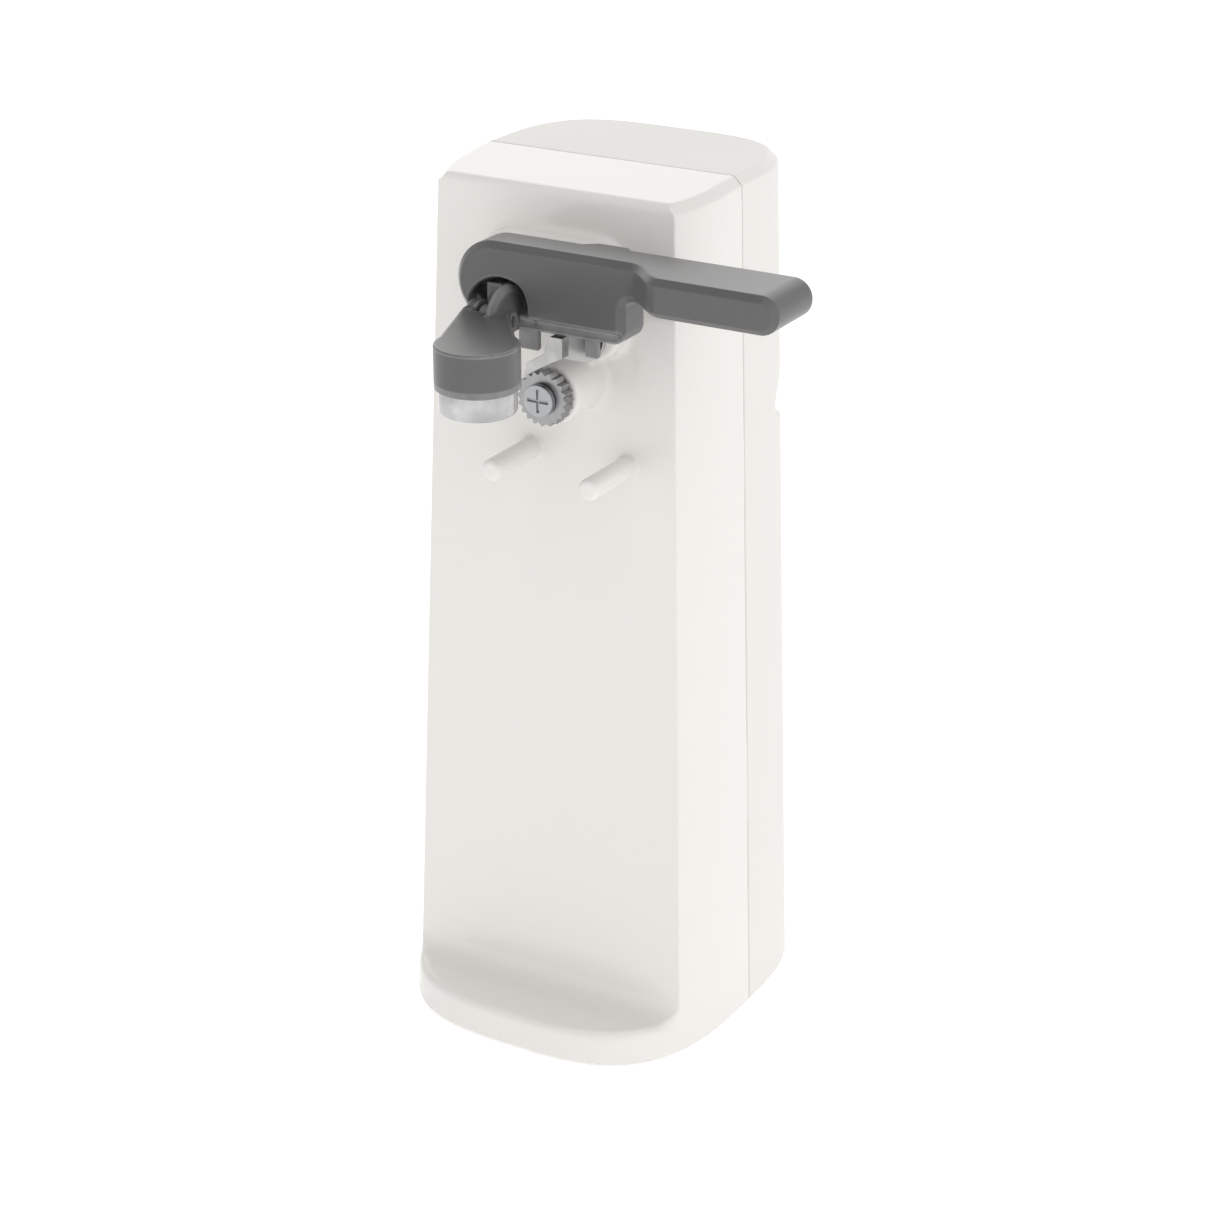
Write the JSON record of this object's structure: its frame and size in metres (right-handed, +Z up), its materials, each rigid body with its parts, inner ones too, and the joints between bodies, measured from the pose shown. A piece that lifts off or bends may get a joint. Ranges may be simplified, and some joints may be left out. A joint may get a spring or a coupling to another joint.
{
  "type": "electric can opener",
  "caption": "Upright electric can opener with a tapered two-piece plastic body, press-down lever, cutting blade, toothed drive wheel, magnet arm and a knife groove at the rear.",
  "frame": {"origin": "on the table under the middle of the body's footprint, in the body's plane of symmetry", "axes": "+Z up; -Y towards the user, the side of the panel and the can; +X to the right seen from the front, the side of the handle"},
  "size_m": [0.1367, 0.1477, 0.2593],
  "materials": {
    "gloss_white_plastic": "high-gloss warm white ABS",
    "grained_white_plastic": "finely spark-eroded warm white ABS",
    "dark_grey_plastic": "satin dark grey glass-filled nylon",
    "ivory_plastic": "natural nylon",
    "gear_nylon": "natural acetal",
    "switch_plastic": "black phenolic",
    "button_plastic": "red acetal",
    "rubber": "matt non-slip rubber",
    "zinc_steel": "bright zinc plate",
    "core_steel": "oiled lamination steel",
    "ground_steel": "ground",
    "hardened_steel": "hardened, satin nickel",
    "blade_steel": "polished stainless",
    "chrome_plate": "mirror chrome",
    "ferrite": "sintered ferrite",
    "bronze": "sintered bronze",
    "copper_wire": "enamelled copper wire",
    "abrasive": "bonded aluminium oxide"
  },
  "bodies": {
    "housing": {"front_shell": "gloss_white_plastic", "rear_shell": "grained_white_plastic", "base_plate": "grained_white_plastic", "foot_ring": "rubber", "base_screws": "zinc_steel", "case_screws": "zinc_steel", "cord_inlet": "grained_white_plastic", "terminal_block": "ivory_plastic", "front_chassis_plate": "zinc_steel", "rear_chassis_plate": "zinc_steel", "chassis_pillars": "zinc_steel", "chassis_screws": "zinc_steel", "motor_laminations": "core_steel", "coil_bobbin": "ivory_plastic", "coil_winding": "copper_wire", "rear_motor_bracket": "zinc_steel", "bracket_screws": "zinc_steel", "motor_bushes": "bronze", "knife_guide": "dark_grey_plastic", "gear_axles": "ground_steel", "drive_bushes": "bronze", "lever_bush": "bronze", "micro_switch": "switch_plastic", "switch_screws": "zinc_steel"},
    "motor_rotor": {"rotor": "core_steel", "motor_shaft": "ground_steel", "motor_pinion": "gear_nylon", "sharpening_wheel": "abrasive", "sharpening_wheel_nut": "zinc_steel"},
    "first_reduction": {"first_gear": "gear_nylon"},
    "second_reduction": {"second_gear": "gear_nylon"},
    "drive": {"drive_gear": "core_steel", "drive_shaft": "ground_steel", "drive_wheel": "hardened_steel", "drive_wheel_screw": "zinc_steel", "drive_shaft_clip": "zinc_steel"},
    "lever": {"lever_body": "dark_grey_plastic", "lever_spindle": "ground_steel", "spindle_screw": "zinc_steel", "switch_cam": "ivory_plastic", "cutter_blade": "blade_steel", "cutter_screws": "zinc_steel", "hinge_pin": "ground_steel"},
    "magnet": {"magnet_arm": "dark_grey_plastic", "magnet_cup": "chrome_plate", "magnet_core": "ferrite", "magnet_rivet": "zinc_steel"},
    "button": {"switch_button": "button_plastic"}
  },
  "joints": [
    {"name": "motor_spin", "type": "hinge", "parent": "housing", "child": "motor_rotor", "pos_m": [0, 0.02, 0.1705], "axis": [0, -1, 0], "continuous": true},
    {"name": "first_gear_spin", "type": "hinge", "parent": "housing", "child": "first_reduction", "pos_m": [0.01723, 0, 0.1505], "axis": [0, -1, 0], "continuous": true},
    {"name": "second_gear_spin", "type": "hinge", "parent": "housing", "child": "second_reduction", "pos_m": [0.017, -0.006, 0.17603], "axis": [0, -1, 0], "continuous": true},
    {"name": "drive_spin", "type": "hinge", "parent": "housing", "child": "drive", "pos_m": [0.0092, -0.03, 0.205], "axis": [0, -1, 0], "continuous": true},
    {"name": "lever_press", "type": "hinge", "parent": "housing", "child": "lever", "pos_m": [-0.0035, -0.03, 0.2368], "axis": [0, -1, 0], "range_deg": [0, 30]},
    {"name": "magnet_swing", "type": "hinge", "parent": "lever", "child": "magnet", "pos_m": [0, -0.0505, 0.2274], "axis": [-1, 0, 0], "range_deg": [-5, 58]},
    {"name": "button_press", "type": "slide", "parent": "housing", "child": "button", "axis": [1, 0, 0], "range_m": [0, 0.00115], "stiffness_N_per_m": 20, "springref_m": 0.0016}
  ],
  "couplings": [
    {"joint": "first_gear_spin", "follows": "motor_spin", "ratio": -0.22222},
    {"joint": "second_gear_spin", "follows": "motor_spin", "ratio": 0.061111},
    {"joint": "drive_spin", "follows": "motor_spin", "ratio": -0.02037},
    {"joint": "button_press", "follows": "lever_press", "m_per_rad": 0.002175}
  ]
}
